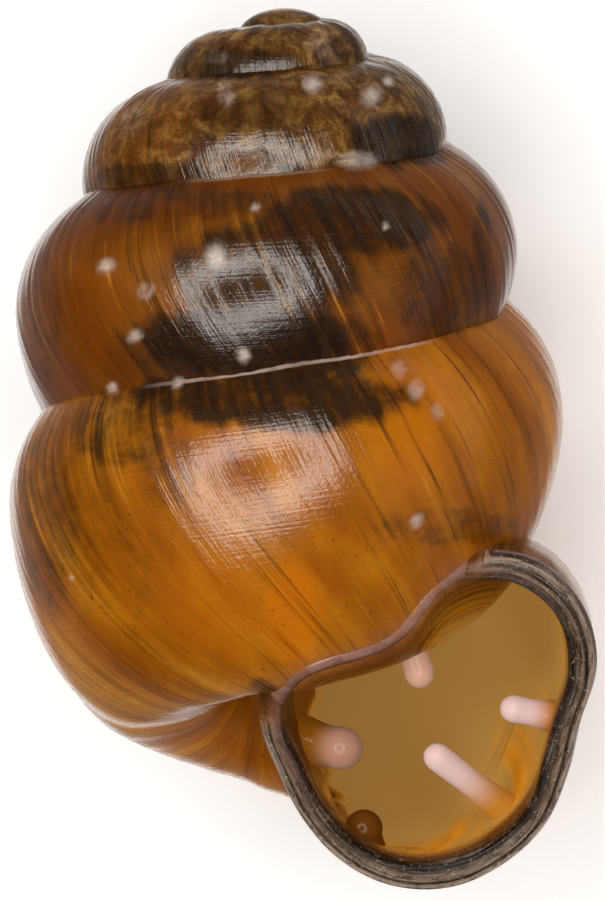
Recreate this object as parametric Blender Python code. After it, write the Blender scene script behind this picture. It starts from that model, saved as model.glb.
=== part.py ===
"""A whorl snail's shell, about 2.3 mm long: one grown piece, built as one solid.

The shell is a tube coiled to the right round its own axis. Its outer body and its hollow are lofts of closed
cross-sections, whose sizes are read between the half-whorl dimensions below. Past the last of them the tube
leaves the coil and runs forward to the mouth. A rounded lip goes all round the mouth, and over the whorl
above it, and five teeth stand in the hollow just inside.

It is drawn in millimetres with its axis along Y, the apex at +Y, the mouth facing +Z, and +X on the mouth's
side. It is then turned a little and moved, so that it lies on its back on z = 0, resting on the flats of its
two largest whorls with its mouth up.
"""

import math

import bmesh
import bpy
from mathutils import Matrix, Vector

MM = 0.001

# How the drawn shell is turned, about Y and then about X, and moved, to lie at rest.
REST_ROLL_DEG = 13.0
REST_PITCH_DEG = -3.2
REST_MOVE = (-0.0801, -1.1558, 0.7972)

# Sizes in millimetres, one value for each half whorl, from the mouth back to the apex.
HALF_WHORL = 0.5
PERIPHERY_RADIUS = (0.740, 0.715, 0.731, 0.700, 0.606, 0.527, 0.420, 0.313, 0.214, 0.110)
PERIPHERY_HEIGHT = (0.670, 1.000, 1.224, 1.492, 1.666, 1.846, 1.965, 2.078, 2.160, 2.206)
RISE_ABOVE = (0.345, 0.350, 0.375, 0.348, 0.299, 0.254, 0.206, 0.158, 0.108, 0.064)
DROP_BELOW = (0.650, 0.606, 0.534, 0.465, 0.400, 0.345, 0.278, 0.212, 0.138, 0.070)
FIRST_TURN = 4.5  # turns from the mouth back to the start of the coil
COIL_END_TURN = 0.06  # where the tube leaves the coil for the mouth

WALL = 0.036
CALLUS = 0.018  # what the hollow leaves on the whorl that it lies against
SHORTEST_RADIUS = 0.3  # of the coil, where the tube's inner side leaves it
AXIS_SIDE = 0.055  # the sections stop this far from the axis at the mouth, and nearer to it above
AXIS_SIDE_TURNS = 5.2  # they would reach the axis after this many turns
SECTION_CENTRE = 0.52  # of the way from the axis to the periphery
INNER_SQUARENESS = 3.2  # 2 is an ellipse: the side of a section towards the axis is squarer
LOWER_SQUARENESS = 1.75  # and its outer side is slimmer below the periphery
HOLLOW_TOP_TURN = 4.05
HOLLOW_SPLIT_TURN = 0.42

COLUMELLA_RADIUS = 0.095  # how near the hollow comes to the axis at the mouth: nearer above
COLUMELLA_TURNS = 7.5  # it would reach the axis after this many turns
PILLAR_BOTTOM_RADIUS = 0.078
PILLAR_TOP_RADIUS = 0.032
COLUMELLA_BOTTOM = 0.55
COLUMELLA_TOP = 2.21
APEX_CAP_RADIUS = 0.125
APEX_CAP_HALF_HEIGHT = 0.075
APEX_CAP_HEIGHT = 2.222

# The mouth is flat. Its plane leans back below, and stands in front of the shell's axis.
MOUTH_CENTRE = (0.368, 0.464)
MOUTH_TOP_HEIGHT = 0.909
MOUTH_TOP_DEPTH = 0.445
MOUTH_LEAN = 0.32
# Distance from the mouth's centre every 20 degrees, anticlockwise from the right.
LIP_OUTER = (0.409, 0.477, 0.514, 0.506, 0.432, 0.341, 0.328, 0.345, 0.420,
             0.424, 0.401, 0.409, 0.430, 0.448, 0.451, 0.436, 0.422, 0.403)
LIP_INNER = (0.338, 0.398, 0.440, 0.427, 0.360, 0.257, 0.236, 0.267, 0.348,
             0.360, 0.335, 0.342, 0.360, 0.375, 0.375, 0.367, 0.356, 0.330)
# The lip's middle line: free of the whorl above except between 60 and 160 degrees, where it lies on it.
LIP_LINE = (0.372, 0.436, 0.474, 0.470, 0.395, 0.266, 0.241, 0.278, 0.362,
            0.388, 0.366, 0.373, 0.392, 0.409, 0.411, 0.399, 0.387, 0.365)
LIP_ROUND = 0.040
RIDGE_ROUND = 0.024  # the lip's radius where it crosses the whorl above
RIDGE_SINK = 0.006
SCARF_FROM_TURN = 0.62
SCARF_TO_TURN = 1.5

# Each tooth: where its root and its tip stand, how far behind the mouth's plane, and its radius.
TEETH = {
    "parietal": ((0.316, 0.716, 0.12), (0.369, 0.541, 0.06), 0.038),
    "columellar": ((0.030, 0.388, 0.18), (0.207, 0.368, 0.08), 0.056),
    "lower_palatal": ((0.615, 0.185, 0.18), (0.382, 0.374, 0.07), 0.035),
    "upper_palatal": ((0.735, 0.458, 0.10), (0.570, 0.492, 0.06), 0.035),
    "basal": ((0.212, 0.090, 0.10), (0.220, 0.206, 0.085), 0.050),
}
TOOTH_FLARE = 1.3  # how much wider a tooth is at its root
TOOTH_SHANK = 0.6  # the share of its length where it has narrowed to its own radius
TOOTH_BOW_DEG = (0, 30, 60, 80)  # where the rounded end's rings stand, from its rim to near its tip

# How finely the shapes are divided.
BODY_POINTS = 30
BODY_STEPS = 28  # a turn
HOLLOW_POINTS = 18
HOLLOW_STEPS = 20  # a turn
HOLLOW_START = (0.15, 0.25)  # where its rays start: shares of the section outwards and downwards
HALVINGS = 24
THROAT_STEPS = 6
LIP_STEPS = 44
LIP_SIDES = 8
RIDGE_FROM_DEG = 60  # where the lip leaves the whorl above, and meets it again
RIDGE_TO_DEG = 165
PILLAR_SIDES = 12
CAP_SIDES = 20
TOOTH_SIDES = 10
SMALL_TURN = 0.01  # for a direction along the coil
DEPTH_STEP = 0.004
DEEPEST, SHALLOWEST = 0.8, 0.1
HOLLOW_OVERLAP = 0.04  # turns
MOUTH_FLARE = ((0.04, 1.03), (0.10, 1.08))  # the hollow's cutter in front of the mouth: how far, and how wide
SHARP_DEG = 40

# The shell's colour, roughness and metallic value.
AMBER = (0.42, 0.17, 0.02, 1.0)
ROUGHNESS = 0.3
METALLIC = 0.0


def between(values, place):
    """A smooth value between evenly spaced ones: place counts from 0 at the first."""
    first = min(max(int(math.floor(place)), 0), len(values) - 2)
    share = place - first
    p1, p2 = values[first], values[first + 1]
    p0 = values[first - 1] if first else 2 * p1 - p2
    p3 = values[first + 2] if first + 2 < len(values) else 2 * p2 - p1
    bend = 2 * p0 - 5 * p1 + 4 * p2 - p3
    twist = 3 * p1 - p0 - 3 * p2 + p3
    return 0.5 * (2 * p1 + (p2 - p0) * share + bend * share ** 2 + twist * share ** 3)


def around(values, turn):
    """A smooth value between ones spaced evenly round a circle: turn is in whole turns."""
    count = len(values)
    place = (turn % 1.0) * count
    first = int(place) % count
    nearby = [values[(first + k) % count] for k in (-1, 0, 1, 2)]
    return between(nearby, 1 + place - int(place))


def section(turns_back, grow=0.0):
    """The whorl's cross-section in the half plane through the axis, grown on every side, as named lengths."""
    place = turns_back / HALF_WHORL
    outer = between(PERIPHERY_RADIUS, place)
    centre = SECTION_CENTRE * outer
    height = between(PERIPHERY_HEIGHT, place)
    rise = between(RISE_ABOVE, place)
    covered = turns_back + 1 < FIRST_TURN
    above = between(PERIPHERY_HEIGHT, place + 1 / HALF_WHORL) if covered else height
    return {
        "centre": centre,
        "out": outer - centre + grow,
        "in": centre - AXIS_SIDE * (1 - turns_back / AXIS_SIDE_TURNS) + grow,
        "height": height,
        "rise": rise + grow,
        "drop": between(DROP_BELOW, place) + grow,
        "lift": max(above - height - rise, 0.0),
    }


def lifted(cut, radius):
    """How far the top of a section is raised towards the axis, into the whorl above it."""
    share = max(cut["centre"] - radius, 0.0) / cut["in"]
    return cut["lift"] * share * share


def on_section(turns_back, turn, grow=0.0):
    """A point (radius, height) on the section's outline: turn 0 is its outermost point and 0.25 its top."""
    cut = section(turns_back, grow)
    cosine, sine = math.cos(math.tau * turn), math.sin(math.tau * turn)
    reach = cut["rise"] if sine > 0 else cut["drop"]
    if cosine >= 0:
        power = 1.0 if sine > 0 else 2 / LOWER_SQUARENESS
        height = cut["height"] + reach * sine * abs(sine) ** (power - 1)
        return cut["centre"] + cut["out"] * cosine ** power, height
    power = 2 / INNER_SQUARENESS
    radius = cut["centre"] - (cut["in"] - grow) * abs(cosine) ** power
    height = cut["height"] + math.copysign(reach * abs(sine) ** power, sine)
    return radius, height + (lifted(cut, radius) if sine > 0 else 0.0)


def on_scarf(turns_back, turn):
    return on_section(turns_back, turn, CALLUS)


def inside_section(turns_back, grow, radius, height):
    cut = section(turns_back, grow)
    over = height - cut["height"]
    if over > 0:
        over = max(over - lifted(cut, radius), 0.0) / cut["rise"]
    else:
        over = over / cut["drop"]
    if radius > cut["centre"]:
        power = 2 if over > 0 else LOWER_SQUARENESS
        return ((radius - cut["centre"]) / cut["out"]) ** power + abs(over) ** power < 1
    across = abs(cut["centre"] - radius) / cut["in"]
    return across ** INNER_SQUARENESS + abs(over) ** INNER_SQUARENESS < 1


def in_hollow(turns_back, radius, height):
    """Is a point of the half plane through the axis inside the tube's hollow?"""
    return (
        radius > COLUMELLA_RADIUS * (1 - turns_back / COLUMELLA_TURNS)
        and inside_section(turns_back, -WALL, radius, height)
        and (turns_back + 1 > FIRST_TURN or not inside_section(turns_back + 1, CALLUS, radius, height))
    )


def on_hollow(turns_back, turn):
    """A point (radius, height) on the hollow's outline, found along a ray from a point well inside it."""
    cut = section(turns_back)
    start_radius = cut["centre"] + HOLLOW_START[0] * cut["out"]
    start_height = cut["height"] - HOLLOW_START[1] * cut["drop"]
    cosine, sine = math.cos(math.tau * turn), math.sin(math.tau * turn)
    near, far = 0.0, 2 * (cut["out"] + cut["drop"])
    for _ in range(HALVINGS):
        middle = (near + far) / 2
        if in_hollow(turns_back, start_radius + middle * cosine, start_height + middle * sine):
            near = middle
        else:
            far = middle
    return start_radius + near * cosine, start_height + near * sine


def coiled(turns_back, radius, height):
    """Going back from the mouth the coil runs from the right round the back to the left, then to the front."""
    angle = -math.tau * turns_back
    return Vector((radius * math.cos(angle), height, radius * math.sin(angle)))


def mouth_depth(height):
    return MOUTH_TOP_DEPTH - MOUTH_LEAN * (MOUTH_TOP_HEIGHT - height)


def on_mouth(lip, turn, size=1.0, forward=0.0):
    """A point of the mouth's outline, enlarged, and carried forward from the mouth's plane."""
    reach = size * around(lip, turn)
    x = MOUTH_CENTRE[0] + reach * math.cos(math.tau * turn)
    height = MOUTH_CENTRE[1] + reach * math.sin(math.tau * turn)
    return Vector((x, height - MOUTH_LEAN * forward, mouth_depth(height) + forward))


def coil_ring(outline, turns_back, points):
    """One closed cross-section of the tube in the half plane through the axis."""
    return [coiled(turns_back, *outline(turns_back, k / points)) for k in range(points)]


def throat_rings(outline, lip, points):
    """Cross-sections that leave the coil along its own direction and meet the mouth's plane squarely."""
    start = coil_ring(outline, COIL_END_TURN, points)
    earlier = coil_ring(outline, COIL_END_TURN + SMALL_TURN, points)
    end = [on_mouth(lip, k / points) for k in range(points)]
    ahead = [on_mouth(lip, k / points, forward=1.0) for k in range(points)]
    rings = []
    for number in range(1, THROAT_STEPS + 1):
        s = number / THROAT_STEPS
        ring = []
        for k in range(points):
            length = (end[k] - start[k]).length
            coil_length = math.tau * max(start[k].x, SHORTEST_RADIUS)
            leaving = (start[k] - earlier[k]) / SMALL_TURN * (length / coil_length)
            arriving = (ahead[k] - end[k]).normalized() * length
            ring.append(
                start[k] * (2 * s ** 3 - 3 * s ** 2 + 1)
                + leaving * (s ** 3 - 2 * s ** 2 + s)
                + end[k] * (3 * s ** 2 - 2 * s ** 3)
                + arriving * (s ** 3 - s ** 2)
            )
        rings.append(ring)
    return rings


def coil_rings(outline, first_turn, last_turn, steps_per_turn, points):
    steps = max(round((first_turn - last_turn) * steps_per_turn), 1)
    turns = [first_turn + (last_turn - first_turn) * k / steps for k in range(steps + 1)]
    return [coil_ring(outline, turn, points) for turn in turns]


def loft(name, rings, closed=False):
    """A closed solid through rings that have the same number of points, its ends filled or joined."""
    mesh = bmesh.new()
    made = [[mesh.verts.new(point) for point in points] for points in rings]
    pairs = list(zip(made, made[1:]))
    if closed:
        pairs.append((made[-1], made[0]))
    for one, two in pairs:
        for k in range(len(one)):
            after = (k + 1) % len(one)
            mesh.faces.new((one[k], one[after], two[after], two[k]))
    if not closed:
        mesh.faces.new(made[0])
        mesh.faces.new(made[-1][::-1])
    bmesh.ops.recalc_face_normals(mesh, faces=mesh.faces)
    return as_object(name, mesh)


def as_object(name, mesh):
    """Every mesh is drawn in millimetres, and its object scales it to metres and lays it down."""
    data = bpy.data.meshes.new(name)
    mesh.to_mesh(data)
    mesh.free()
    made = bpy.data.objects.new(name, data)
    made.matrix_world = (
        Matrix.Scale(MM, 4)
        @ Matrix.Translation(REST_MOVE)
        @ Matrix.Rotation(math.radians(REST_PITCH_DEG), 4, "X")
        @ Matrix.Rotation(math.radians(REST_ROLL_DEG), 4, "Y")
    )
    return made


def body():
    """The outer body, whose whorls run into each other: the first Boolean on it joins them."""
    rings = coil_rings(on_section, FIRST_TURN, COIL_END_TURN, BODY_STEPS, BODY_POINTS)
    return loft("shell", rings + throat_rings(on_section, LIP_OUTER, BODY_POINTS))


def whorl_depth(x, height):
    """How far forward the whorl above the mouth stands at this place, or None beside it."""
    depth = DEEPEST
    while depth > SHALLOWEST:
        turns_back = 1 - math.atan2(depth, x) / math.tau
        if inside_section(turns_back, 0.0, math.hypot(x, depth), height):
            return depth
        depth -= DEPTH_STEP
    return None


def lip_line():
    """The lip's middle points and the lip's radius at each: on the whorl above it is a lower ridge."""
    line, sizes = [], []
    for k in range(LIP_STEPS):
        point = on_mouth(LIP_LINE, k / LIP_STEPS)
        behind = whorl_depth(point.x, point.y)
        if behind is not None and behind - RIDGE_SINK > point.z:
            point.z = behind - RIDGE_SINK
        line.append(point)
        on_whorl = RIDGE_FROM_DEG < 360 * k / LIP_STEPS < RIDGE_TO_DEG
        sizes.append(RIDGE_ROUND if on_whorl else LIP_ROUND)
    after = [(k + 1) % LIP_STEPS for k in range(LIP_STEPS)]
    eased = [(line[k - 1] + 2 * line[k] + line[after[k]]) / 4 for k in range(LIP_STEPS)]
    return eased, [(sizes[k - 1] + sizes[k] + sizes[after[k]]) / 3 for k in range(LIP_STEPS)]


def lip():
    """A rounded bead along the mouth's edge."""
    line, sizes = lip_line()
    normal = Vector((0, -MOUTH_LEAN, 1)).normalized()
    rings = []
    for k, point in enumerate(line):
        along = (line[(k + 1) % LIP_STEPS] - line[k - 1]).normalized()
        across = along.cross(normal).normalized()
        up = across.cross(along)
        ring = []
        for side in range(LIP_SIDES):
            angle = math.tau * (side + 0.5) / LIP_SIDES
            ring.append(point + sizes[k] * (across * math.cos(angle) + up * math.sin(angle)))
        rings.append(ring)
    return loft("lip", rings, closed=True)


def columella():
    """The pillar that the whorls wind round: a long cone along the axis."""
    mesh = bmesh.new()
    length = COLUMELLA_TOP - COLUMELLA_BOTTOM
    bmesh.ops.create_cone(
        mesh,
        cap_ends=True,
        segments=PILLAR_SIDES,
        radius1=PILLAR_BOTTOM_RADIUS,
        radius2=PILLAR_TOP_RADIUS,
        depth=length,
    )
    bmesh.ops.rotate(mesh, verts=mesh.verts, matrix=Matrix.Rotation(-math.pi / 2, 3, "X"))
    bmesh.ops.translate(mesh, verts=mesh.verts, vec=Vector((0, COLUMELLA_BOTTOM + length / 2, 0)))
    return as_object("columella", mesh)


def apex_cap():
    """The low dome that the coil starts from."""
    mesh = bmesh.new()
    bmesh.ops.create_uvsphere(mesh, u_segments=CAP_SIDES, v_segments=CAP_SIDES // 2, radius=1)
    bmesh.ops.rotate(mesh, verts=mesh.verts, matrix=Matrix.Rotation(-math.pi / 2, 3, "X"))
    bmesh.ops.scale(mesh, verts=mesh.verts, vec=(APEX_CAP_RADIUS, APEX_CAP_HALF_HEIGHT, APEX_CAP_RADIUS))
    bmesh.ops.translate(mesh, verts=mesh.verts, vec=Vector((0, APEX_CAP_HEIGHT, 0)))
    return as_object("apex_cap", mesh)


def tooth(name, root, tip, radius):
    """A rod with a rounded end that stands out from the wall: its root goes into the wall."""
    start = Vector((root[0], root[1], mouth_depth(root[1]) - root[2]))
    end = Vector((tip[0], tip[1], mouth_depth(tip[1]) - tip[2]))
    along = (end - start).normalized()
    side = along.cross(Vector((0, 0, 1))).normalized()
    other = along.cross(side)
    length = (end - start).length
    rings = [(start, radius * TOOTH_FLARE), (start + along * length * TOOTH_SHANK, radius)]
    for degrees in TOOTH_BOW_DEG:
        bow = math.radians(degrees)
        rings.append((end - along * radius * (1 - math.sin(bow)), radius * math.cos(bow)))
    corners = []
    for centre, size in rings:
        turns = [math.tau * k / TOOTH_SIDES for k in range(TOOTH_SIDES)]
        corners.append([centre + size * (side * math.cos(a) + other * math.sin(a)) for a in turns])
    return loft("tooth_" + name, corners)


def coil_hollow():
    last_turn = HOLLOW_SPLIT_TURN - HOLLOW_OVERLAP
    return loft("coil_hollow", coil_rings(on_hollow, HOLLOW_TOP_TURN, last_turn, HOLLOW_STEPS, HOLLOW_POINTS))


def mouth_hollow():
    rings = coil_rings(on_hollow, HOLLOW_SPLIT_TURN, COIL_END_TURN, HOLLOW_STEPS, HOLLOW_POINTS)
    rings += throat_rings(on_hollow, LIP_INNER, HOLLOW_POINTS)
    for forward, size in MOUTH_FLARE:
        rings.append([on_mouth(LIP_INNER, k / HOLLOW_POINTS, size, forward) for k in range(HOLLOW_POINTS)])
    return loft("mouth_hollow", rings)


def scarf():
    """The whorl above the mouth with its callus, which the mouth's hollow must leave whole."""
    rings = coil_rings(on_scarf, SCARF_TO_TURN, SCARF_FROM_TURN, BODY_STEPS, BODY_POINTS)
    return loft("scarf", rings)


def combine(target, name, other, operation):
    join = target.modifiers.new(name, "BOOLEAN")
    join.operation = operation
    join.object = other
    join.solver = "EXACT"
    join.use_self = True


def amber():
    """Glossy brown horn."""
    made = bpy.data.materials.new("amber_shell")
    made.use_nodes = True
    shader = made.node_tree.nodes["Principled BSDF"]
    shader.inputs["Base Color"].default_value = AMBER
    shader.inputs["Roughness"].default_value = ROUGHNESS
    shader.inputs["Metallic"].default_value = METALLIC
    made.diffuse_color = AMBER
    return made


def main():
    for old in list(bpy.data.objects):
        bpy.data.objects.remove(old)
    parts = bpy.data.collections.new("land_snail_shell")
    cutters = bpy.data.collections.new("cutters")
    bpy.context.scene.collection.children.link(parts)
    bpy.context.scene.collection.children.link(cutters)
    shell = body()
    shell.data.materials.append(amber())
    shell.data.shade_smooth()
    shell.data.set_sharp_from_angle(angle=math.radians(SHARP_DEG))
    parts.objects.link(shell)
    mouth = mouth_hollow()
    combine(mouth, "whorl above", scarf(), "DIFFERENCE")
    for name, (root, tip, radius) in TEETH.items():
        combine(mouth, name, tooth(name, root, tip, radius), "DIFFERENCE")
    combine(shell, "columella", columella(), "UNION")
    combine(shell, "apex", apex_cap(), "UNION")
    combine(shell, "lip", lip(), "UNION")
    combine(shell, "coil hollow", coil_hollow(), "DIFFERENCE")
    combine(shell, "mouth hollow", mouth, "DIFFERENCE")
    for made in bpy.data.objects:
        if made is shell:
            continue
        cutters.objects.link(made)
        made.hide_render = True
        made.display_type = "WIRE"


main()
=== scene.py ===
"""The looks of a whorl snail's shell, 2.3 mm long: its fine surface, colours, floor, light and camera.

The shell is worked out in millimetres with its axis along Y, the apex at +Y, the mouth facing +Z and +X on the
mouth's side, and then laid down as the frame has it. A place on a whorl is given by turns_back, counted from
the mouth, and by how far it lies below the seam with the whorl above.
"""

import math

import bpy
import numpy as np
from mathutils import Matrix, Vector


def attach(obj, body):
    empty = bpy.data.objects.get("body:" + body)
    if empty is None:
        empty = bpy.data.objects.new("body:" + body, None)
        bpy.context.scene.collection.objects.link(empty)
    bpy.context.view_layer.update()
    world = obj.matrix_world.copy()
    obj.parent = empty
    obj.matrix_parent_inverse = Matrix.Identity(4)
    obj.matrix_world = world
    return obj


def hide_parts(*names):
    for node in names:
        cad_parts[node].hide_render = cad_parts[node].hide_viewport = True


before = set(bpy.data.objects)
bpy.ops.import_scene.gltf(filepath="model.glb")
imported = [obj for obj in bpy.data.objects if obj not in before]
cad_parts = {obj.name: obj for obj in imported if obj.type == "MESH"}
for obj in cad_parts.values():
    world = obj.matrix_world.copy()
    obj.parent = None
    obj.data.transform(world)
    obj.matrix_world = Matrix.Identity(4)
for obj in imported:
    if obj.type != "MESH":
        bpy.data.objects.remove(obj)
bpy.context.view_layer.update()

MM = 0.001

# How the drawn shell is turned, about Y and then about X, and moved, to lie at rest.
REST_ROLL_DEG = 13.0
REST_PITCH_DEG = -3.2
REST_MOVE = (-0.0801, -1.1558, 0.7972)

# Sizes in millimetres, one value for each half whorl, from the mouth back to the apex.
HALF_WHORL = 0.5
PERIPHERY_RADIUS = (0.740, 0.715, 0.731, 0.700, 0.606, 0.527, 0.420, 0.313, 0.214, 0.110)
PERIPHERY_HEIGHT = (0.670, 1.000, 1.224, 1.492, 1.666, 1.846, 1.965, 2.078, 2.160, 2.206)
RISE_ABOVE = (0.345, 0.350, 0.375, 0.348, 0.299, 0.254, 0.206, 0.158, 0.108, 0.064)
DROP_BELOW = (0.650, 0.606, 0.534, 0.465, 0.400, 0.345, 0.278, 0.212, 0.138, 0.070)
FIRST_TURN = 4.5  # turns from the mouth back to the start of the coil
COIL_END_TURN = 0.06  # where the tube leaves the coil for the mouth
WALL = 0.036
CALLUS = 0.018
AXIS_SIDE = 0.055
AXIS_SIDE_TURNS = 5.2
SECTION_CENTRE = 0.52
INNER_SQUARENESS = 3.2
LOWER_SQUARENESS = 1.75
COLUMELLA_RADIUS = 0.095
COLUMELLA_TURNS = 7.5
APEX_CAP_RADIUS = 0.125
APEX_CAP_HALF_HEIGHT = 0.075
APEX_CAP_HEIGHT = 2.222

MOUTH_CENTRE = (0.368, 0.464)
MOUTH_TOP_HEIGHT = 0.909
MOUTH_TOP_DEPTH = 0.445
MOUTH_LEAN = 0.32
# Distance from the mouth's centre every 20 degrees, anticlockwise from the right.
LIP_OUTER = (0.409, 0.477, 0.514, 0.506, 0.432, 0.341, 0.328, 0.345, 0.420,
             0.424, 0.401, 0.409, 0.430, 0.448, 0.451, 0.436, 0.422, 0.403)
LIP_INNER = (0.338, 0.398, 0.440, 0.427, 0.360, 0.257, 0.236, 0.267, 0.348,
             0.360, 0.335, 0.342, 0.360, 0.375, 0.375, 0.367, 0.356, 0.330)
LIP_LINE = (0.372, 0.436, 0.474, 0.470, 0.395, 0.266, 0.241, 0.278, 0.362,
            0.388, 0.366, 0.373, 0.392, 0.409, 0.411, 0.399, 0.387, 0.365)
# Where the brown slope inside the lip ends and the pale hollow is seen, in front view, measured the same way.
OPENING_EDGE = (0.354, 0.390, 0.437, 0.400, 0.237, 0.178, 0.170, 0.205, 0.250,
                0.289, 0.285, 0.290, 0.330, 0.360, 0.360, 0.342, 0.333, 0.326)
TEETH = {
    "parietal": ((0.316, 0.716, 0.12), (0.369, 0.541, 0.06), 0.038),
    "columellar": ((0.030, 0.388, 0.18), (0.207, 0.368, 0.08), 0.056),
    "lower_palatal": ((0.615, 0.185, 0.18), (0.382, 0.374, 0.07), 0.035),
    "upper_palatal": ((0.735, 0.458, 0.10), (0.570, 0.492, 0.06), 0.035),
    "basal": ((0.212, 0.090, 0.10), (0.220, 0.206, 0.085), 0.050),
}
TOOTH_FLARE = 1.3

# How finely the surfaces are divided.
STEPS_LOW = 350  # a turn, on the two and a half large whorls
STEPS_HIGH = 230
LARGE_WHORLS_TURN = 2.6
ACROSS_SIDE = 44
ACROSS_BASE = 26
THROAT_STEPS = 26
THROAT_SPREAD = 0.11  # turns: the outer wall widens to the mouth's top corner
LIP_POINTS = 200
LINING_STEPS = 40
LINING_END_TURN = 0.95
LIP_STEPS = 36
LAMINAE = 4
LAMINA_HEIGHT = 0.006
LIP_ROUND = 0.042
CAP_STEPS = 24
RIDGE_ROUND = 0.022
RIDGE_SINK = 0.004
RIDGE_TURNS = (0.165, 0.52)
RIDGE_STEPS = 90
RIDGE_SIDES = 24
RIDGE_EASING = 14
TOOTH_SIDES = 40

# Where the photograph puts things: pixels a millimetre, and the axis and zero height.
PHOTO_SCALE = 382.6
PHOTO_AXIS_X = 283.0
PHOTO_ZERO_Y = 887.0
PHOTO_SIZE = (605, 900)

# The colours' places in the photograph: middle, half width and half height in pixels, and how strong each is.
DARK_PLACES = {
    (255, 345, 120, 46): 1.0, (262, 278, 105, 62): 0.8, (350, 225, 110, 38): 0.8, (210, 215, 110, 26): 0.35,
    (445, 290, 60, 55): 0.5, (478, 245, 12, 50): 0.5, (400, 145, 55, 32): 0.9, (235, 68, 66, 20): 0.8,
    (150, 180, 80, 14): 0.6, (250, 118, 60, 22): 0.45, (270, 402, 150, 34): 0.9, (130, 430, 66, 44): 0.55,
    (170, 470, 40, 50): 0.4, (380, 398, 30, 14): 0.7, (450, 525, 80, 22): 0.42,
    (266, 690, 18, 16): 0.6, (45, 520, 45, 130): 0.40, (110, 560, 60, 110): 0.24, (150, 690, 90, 50): 0.24,
    (38, 320, 34, 90): 0.36, (170, 208, 130, 22): 0.5, (300, 235, 60, 26): 0.75,
}
WARM_PLACES = {
    (378, 335, 30, 22): 0.7, (292, 610, 34, 56): 0.9, (85, 310, 50, 80): 0.35,
    (150, 212, 80, 20): 0.5, (430, 430, 70, 70): 0.4, (230, 600, 60, 60): 0.35,
}
# Deeper amber: mostly painted shade toward the whorls' sides, where the light falls off, with the reddish-brown band
# under the seam as its own colour.
DEEP_TONE_AND_SIDE_SHADE_PLACES = {
    (60, 500, 70, 130): 0.85, (140, 690, 130, 70): 0.5, (90, 235, 110, 44): 0.9, (52, 320, 50, 80): 0.6,
    (480, 470, 60, 110): 0.45, (470, 260, 50, 70): 0.4, (250, 620, 60, 40): 0.15, (180, 205, 140, 22): 0.8,
}
PALE_PLACES = {
    (396, 370, 12, 13): 0.35, (414, 390, 12, 15): 0.35, (434, 412, 12, 16): 0.3, (225, 100, 14, 20): 0.3, (355, 165, 30, 13): 0.4, (320, 45, 26, 26): 0.22,
    (125, 120, 30, 30): 0.18, (285, 160, 70, 18): 0.25, (215, 60, 20, 14): 0.22,
}
# Middle, size in pixels and how hollow each speck is.
SPECKS = (
    (369, 100, 16, 0.25), (310, 90, 14, 0.0), (385, 85, 10, 0.0), (108, 270, 12, 0.2), (148, 295, 12, 0.7),
    (137, 340, 10, 0.3), (115, 390, 9, 0.0), (255, 213, 8, 0.0), (383, 230, 6, 0.0), (245, 357, 12, 0.0),
    (414, 520, 12, 0.0), (75, 577, 6, 0.0), (153, 572, 4, 0.0), (215, 262, 20, 0.0), (180, 387, 9, 0.0),
)
# How whitish each tooth is, where along it that begins, and which depth of the lining its root is coloured as.
TOOTH_LOOKS = {
    "parietal": (0.45, 0.15, 1.60), "columellar": (0.28, 0.28, 1.44), "lower_palatal": (0.92, 0.16, 1.60),
    "upper_palatal": (0.95, 0.15, 1.50), "basal": (0.0, 0.0, 1.20),
}
ATTRIBUTES = ("growth", "below", "dark", "warm", "pale", "seam", "upper", "whorl", "gold", "deep", "ridge", "inner",
              "lip", "layer", "tooth")

# The camera, its tilt towards the apex and its turn about its own line, and the lamps.
CAMERA_TILT_DEG = 3.0
CAMERA_ROLL_DEG = 0.35
CAMERA_LENS = 500.0
RING_LAMPS = 10
RING_RADIUS_DEG = 24.0
RING_SIDE_DEG = -12.0
RING_DISTANCE = 0.030
RING_LAMP_SIZE = 0.0085
RING_POWER = 0.000090
RING_SPREAD_DEG = 50.0
SOFT_BOXES = (
    ("left_box", (-14, 6, 12), 14, 0.00006),
    ("right_box", (14, -4, 10), 14, 0.00005),
)
ROOM_LIGHT = 0.04
FLOOR_GLOW = 0.30
LAMP_COLOUR = (1.0, 0.945, 0.88)
FLOOR_HALF = 0.06


def spline(values, place):
    """A smooth value between evenly spaced ones, for arrays of places: it counts from 0 at the first."""
    table = np.array([2 * values[0] - values[1], *values, 2 * values[-1] - values[-2]])
    place = np.asarray(place, float)
    first = np.clip(np.floor(place).astype(int), 0, len(values) - 2)
    share = place - first
    p0, p1, p2, p3 = (table[first + k] for k in range(4))
    bend = 2 * p0 - 5 * p1 + 4 * p2 - p3
    twist = 3 * p1 - p0 - 3 * p2 + p3
    return 0.5 * (2 * p1 + (p2 - p0) * share + bend * share ** 2 + twist * share ** 3)


def around(values, turn):
    """A smooth value between ones spaced evenly round a circle: turn is in whole turns."""
    count = len(values)
    looped = [values[-1], *values, values[0], values[1]]
    return spline(looped, 1 + (np.asarray(turn, float) % 1.0) * count)


def smooth(low, high, value):
    share = np.clip((value - low) / (high - low), 0, 1)
    return share * share * (3 - 2 * share)


def section(turns_back, grow=0.0):
    """The whorl's cross-section in the half plane through the axis, grown on every side, as named lengths."""
    place = turns_back / HALF_WHORL
    outer = spline(PERIPHERY_RADIUS, place)
    centre = SECTION_CENTRE * outer
    height = spline(PERIPHERY_HEIGHT, place)
    rise = spline(RISE_ABOVE, place)
    above = spline(PERIPHERY_HEIGHT, np.minimum(place + 1 / HALF_WHORL, FIRST_TURN / HALF_WHORL))
    lift = np.where(turns_back + 1 < FIRST_TURN, np.maximum(above - height - rise, 0.0), 0.0)
    return {
        "centre": centre,
        "out": outer - centre + grow,
        "in": centre - AXIS_SIDE * (1 - turns_back / AXIS_SIDE_TURNS) + grow,
        "height": height,
        "rise": rise + grow,
        "drop": spline(DROP_BELOW, place) + grow,
        "lift": lift,
    }


def lifted(cut, radius):
    share = np.maximum(cut["centre"] - radius, 0.0) / cut["in"]
    return cut["lift"] * share * share


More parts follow.
